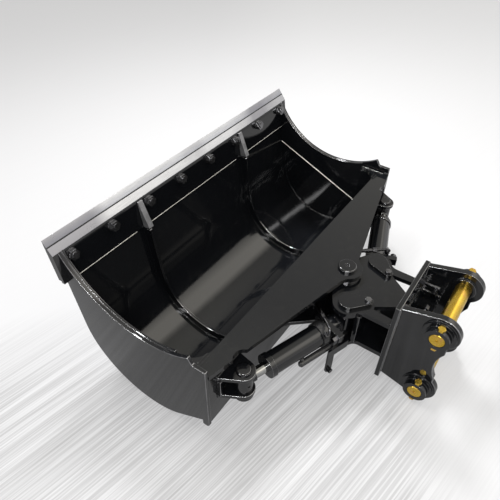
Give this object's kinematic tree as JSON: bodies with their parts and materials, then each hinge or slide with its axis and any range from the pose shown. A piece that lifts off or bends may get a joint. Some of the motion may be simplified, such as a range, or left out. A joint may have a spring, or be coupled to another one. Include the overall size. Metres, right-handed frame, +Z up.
{
  "type": "tilt bucket",
  "caption": "Wide tilting grading bucket with a pivoted hitch, two pin ears and a pair of tilt cylinders, resting on its rolled bottom with the mouth up.",
  "frame": {"origin": "on the floor under the middle of the whole part's box, as it rests on its rolled bottom and the two lower ears", "axes": "+X along the cutting edge, to the right seen from the hitch; +Y from the hitch towards the cutting edge; +Z up. The tilt axis leans 4.8 degrees from +Z towards -Y."},
  "size_m": [1.2, 1.0247, 0.5582],
  "materials": {
    "black_coat": "glossy black powder coat",
    "ground_steel": "ground bevel, bare",
    "dark_bolts": "black zinc",
    "gold_zinc": "yellow zinc plate",
    "rod_chrome": "hard chrome",
    "bronze": "plain bearing bronze",
    "fitting_steel": "plated steel"
  },
  "bodies": {
    "bucket": {"side_plate_left": "black_coat", "side_plate_right": "black_coat", "side_doubler_left": "black_coat", "side_doubler_right": "black_coat", "shell": "black_coat", "rear_wall": "black_coat", "top_plate": "black_coat", "lip_plate": "black_coat", "cutting_edge": "ground_steel", "edge_bolts": "dark_bolts", "inner_rib_left": "black_coat", "inner_rib_right": "black_coat", "lip_bars": "black_coat", "bracket_upper_lugs": "black_coat", "bracket_lower_lugs": "black_coat", "bracket_gussets": "black_coat", "rod_pins": "black_coat", "pivot_pin": "black_coat", "pivot_keeper": "dark_bolts", "thrust_washers": "bronze", "lower_pivot_plate": "black_coat", "pivot_gussets": "black_coat", "bucket_nipples": "fitting_steel"},
    "hitch": {"knuckle_top_plate": "black_coat", "knuckle_bottom_plate": "black_coat", "cross_web": "black_coat", "centre_web": "black_coat", "pivot_tube": "black_coat", "pivot_bushes": "bronze", "base_pins": "black_coat", "base_pin_feet": "dark_bolts", "flag_bolts": "dark_bolts", "headstock_plate": "black_coat", "under_gusset": "black_coat", "ear_left": "black_coat", "ear_right": "black_coat", "ear_bosses": "black_coat", "inner_rings": "black_coat", "upper_pin": "gold_zinc", "lower_pin": "gold_zinc", "lock_bolts": "gold_zinc", "ear_shelf": "black_coat", "hitch_tubes": "fitting_steel", "bulkhead_elbows": "fitting_steel"},
    "rod_left": {"rod_left": "rod_chrome", "piston_left": "rod_chrome"},
    "barrel_left": {"barrel_left": "black_coat", "gland_left": "black_coat", "valve_block_left": "black_coat", "valve_guard_left": "black_coat", "barrel_pipe_left": "black_coat", "valve_fittings_left": "fitting_steel"},
    "rod_right": {"rod_right": "rod_chrome", "piston_right": "rod_chrome"},
    "barrel_right": {"barrel_right": "black_coat", "gland_right": "black_coat", "valve_block_right": "black_coat", "valve_guard_right": "black_coat", "barrel_pipe_right": "black_coat", "valve_fittings_right": "fitting_steel"}
  },
  "joints": [
    {"name": "tilt", "type": "hinge", "parent": "bucket", "child": "hitch", "pos_m": [0, -0.12284, 0.3023], "axis": [0, -0.0843, 0.9964], "range_deg": [-25, 25]},
    {"name": "rod_swing_left", "type": "hinge", "parent": "bucket", "child": "rod_left", "pos_m": [-0.472, -0.04847, 0.20623], "axis": [0, -0.0843, 0.9964], "range_deg": [-5, 5]},
    {"name": "stroke_left", "type": "slide", "parent": "rod_left", "child": "barrel_left", "axis": [0.9437, -0.3297, -0.0279], "range_m": [-0.039, 0.039]},
    {"name": "rod_swing_right", "type": "hinge", "parent": "bucket", "child": "rod_right", "pos_m": [0.472, -0.04847, 0.20623], "axis": [0, -0.0843, 0.9964], "range_deg": [-5, 5]},
    {"name": "stroke_right", "type": "slide", "parent": "rod_right", "child": "barrel_right", "axis": [-0.9437, -0.3297, -0.0279], "range_m": [-0.039, 0.039]}
  ],
  "couplings": [
    {"joint": "rod_swing_left", "follows": "tilt", "ratio": -0.1975},
    {"joint": "stroke_left", "follows": "tilt", "m_per_rad": 0.089},
    {"joint": "rod_swing_right", "follows": "tilt", "ratio": -0.1975},
    {"joint": "stroke_right", "follows": "tilt", "m_per_rad": -0.089}
  ]
}
